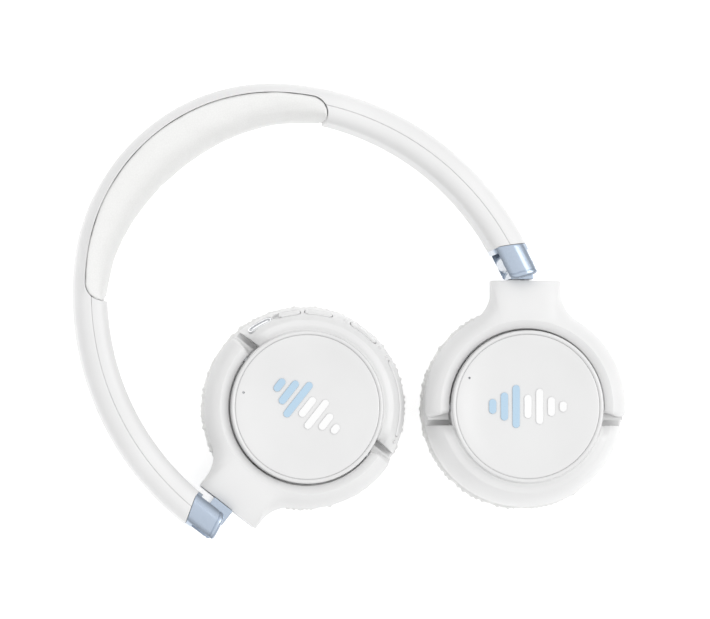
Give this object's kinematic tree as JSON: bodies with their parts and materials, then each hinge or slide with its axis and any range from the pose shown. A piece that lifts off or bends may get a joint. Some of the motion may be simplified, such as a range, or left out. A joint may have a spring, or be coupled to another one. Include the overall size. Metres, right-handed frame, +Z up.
{
  "type": "on-ear headphones",
  "caption": "Folding wireless on-ear headphones: padded curved headband, size sliders, fold hinges, swivelling yokes and round cups with soft ear pads.",
  "frame": {"origin": "on the table under the middle of the folded headphones", "axes": "+Z up out of the table, the cups lie flat with their pads down; +X along the longest side, towards the left cup; +Y away from the cups towards the crown of the headband"},
  "size_m": [0.188, 0.1554, 0.035],
  "materials": {
    "battery": "foil pouch cell",
    "blue_metal": "light blue metallic lacquer on a zinc casting",
    "board": "green circuit board",
    "film": "thin clear film",
    "gloss_white": "smooth glossy ABS, white",
    "grey_plastic": "glass filled nylon, grey",
    "magnet": "nickel plated magnet",
    "steel": "bright steel",
    "white_cloth": "open knit speaker cloth, light grey",
    "white_leather": "soft protein leather over foam, white",
    "white_plastic": "satin moulded ABS, white"
  },
  "bodies": {
    "headband": {"headband_outer_shell": "white_plastic", "left_inner_cover": "white_plastic", "right_inner_cover": "white_plastic", "spring_band": "steel", "headband_cushion": "white_leather", "cushion_base": "grey_plastic", "left_detent_spring": "steel", "right_detent_spring": "steel"},
    "left_slider": {"left_slider_strip": "steel", "left_hinge_housing": "blue_metal", "left_fold_pin": "steel"},
    "left_knuckle": {"left_hinge_knuckle": "blue_metal", "left_swivel_shaft": "steel", "left_swivel_clip": "steel"},
    "left_yoke": {"left_yoke_frame": "white_plastic", "left_yoke_cover": "white_plastic", "left_front_pivot_pin": "steel", "left_rear_pivot_pin": "steel"},
    "left_cup": {"left_cup_housing": "white_plastic", "left_cap_plate": "gloss_white", "left_cap_trim_ring": "gloss_white", "left_baffle": "grey_plastic", "left_driver_basket": "grey_plastic", "left_driver_magnet": "magnet", "left_diaphragm": "film", "left_ear_pad": "white_leather", "left_pad_scrim": "white_cloth", "left_microphone": "steel", "battery": "battery", "charge_board": "board"},
    "right_slider": {"right_slider_strip": "steel", "right_hinge_housing": "blue_metal", "right_fold_pin": "steel"},
    "right_knuckle": {"right_hinge_knuckle": "blue_metal", "right_swivel_shaft": "steel", "right_swivel_clip": "steel"},
    "right_yoke": {"right_yoke_frame": "white_plastic", "right_yoke_cover": "white_plastic", "right_front_pivot_pin": "steel", "right_rear_pivot_pin": "steel"},
    "right_cup": {"right_cup_housing": "white_plastic", "right_cap_plate": "gloss_white", "right_cap_trim_ring": "gloss_white", "right_baffle": "grey_plastic", "right_driver_basket": "grey_plastic", "right_driver_magnet": "magnet", "right_diaphragm": "film", "right_ear_pad": "white_leather", "right_pad_scrim": "white_cloth", "right_microphone": "steel", "main_board": "board", "usb_socket": "steel"},
    "power_switch": {"power_switch": "white_plastic"},
    "function_button": {"function_button": "white_plastic"},
    "play_button": {"play_button": "gloss_white"},
    "volume_rocker": {"volume_rocker": "white_plastic"}
  },
  "joints": [
    {"name": "left_size", "type": "hinge", "parent": "headband", "child": "left_slider", "pos_m": [-0.02897, -0.02104, 0.02], "axis": [0, 0, -1], "range_deg": [0, 17]},
    {"name": "left_fold", "type": "hinge", "parent": "left_slider", "child": "left_knuckle", "pos_m": [0.05481, 0.01777, 0.02], "axis": [0, 0, -1], "range_deg": [-16, 0]},
    {"name": "left_swivel", "type": "hinge", "parent": "left_knuckle", "child": "left_yoke", "pos_m": [0.05944, -0.03184, 0.0202], "axis": [0.0035, 1, 0], "range_deg": [0, 90]},
    {"name": "left_tilt", "type": "hinge", "parent": "left_yoke", "child": "left_cup", "pos_m": [0.05944, -0.03184, 0.025], "axis": [1, -0.0035, 0], "range_deg": [-6, 6]},
    {"name": "right_size", "type": "hinge", "parent": "headband", "child": "right_slider", "pos_m": [0.00475, 0.00646, 0.02], "axis": [0, 0, 1], "range_deg": [0, 7.5]},
    {"name": "right_fold", "type": "hinge", "parent": "right_slider", "child": "right_knuckle", "pos_m": [-0.05011, -0.0678, 0.02], "axis": [0, 0, 1], "range_deg": [-79, 0]},
    {"name": "right_swivel", "type": "hinge", "parent": "right_knuckle", "child": "right_yoke", "pos_m": [-0.01554, -0.03191, 0.0202], "axis": [0.6211, 0.7837, 0], "range_deg": [0, 90]},
    {"name": "right_tilt", "type": "hinge", "parent": "right_yoke", "child": "right_cup", "pos_m": [-0.01554, -0.03191, 0.025], "axis": [-0.7837, 0.6211, 0], "range_deg": [-6, 6]},
    {"name": "power_switch_slide", "type": "slide", "parent": "right_cup", "child": "power_switch", "axis": [-0.9796, -0.2011, 0], "range_m": [0, 0.002]},
    {"name": "function_button_press", "type": "slide", "parent": "right_cup", "child": "function_button", "axis": [-0.1374, -0.9905, 0], "range_m": [0, 0.0005], "stiffness_N_per_m": 400, "springref_m": -0.0005},
    {"name": "play_button_press", "type": "slide", "parent": "right_cup", "child": "play_button", "axis": [-0.6129, -0.7902, 0], "range_m": [0, 0.0005], "stiffness_N_per_m": 400, "springref_m": -0.0005},
    {"name": "volume_rocker_tip", "type": "hinge", "parent": "right_cup", "child": "volume_rocker", "pos_m": [0.0173, -0.02869, 0.0228], "axis": [0, 0, 1], "range_deg": [-1.5, 1.5], "stiffness_Nm_per_rad": 0.3}
  ],
  "couplings": [
    {"joint": "left_fold", "follows": "right_fold", "ratio": 0.2025}
  ]
}
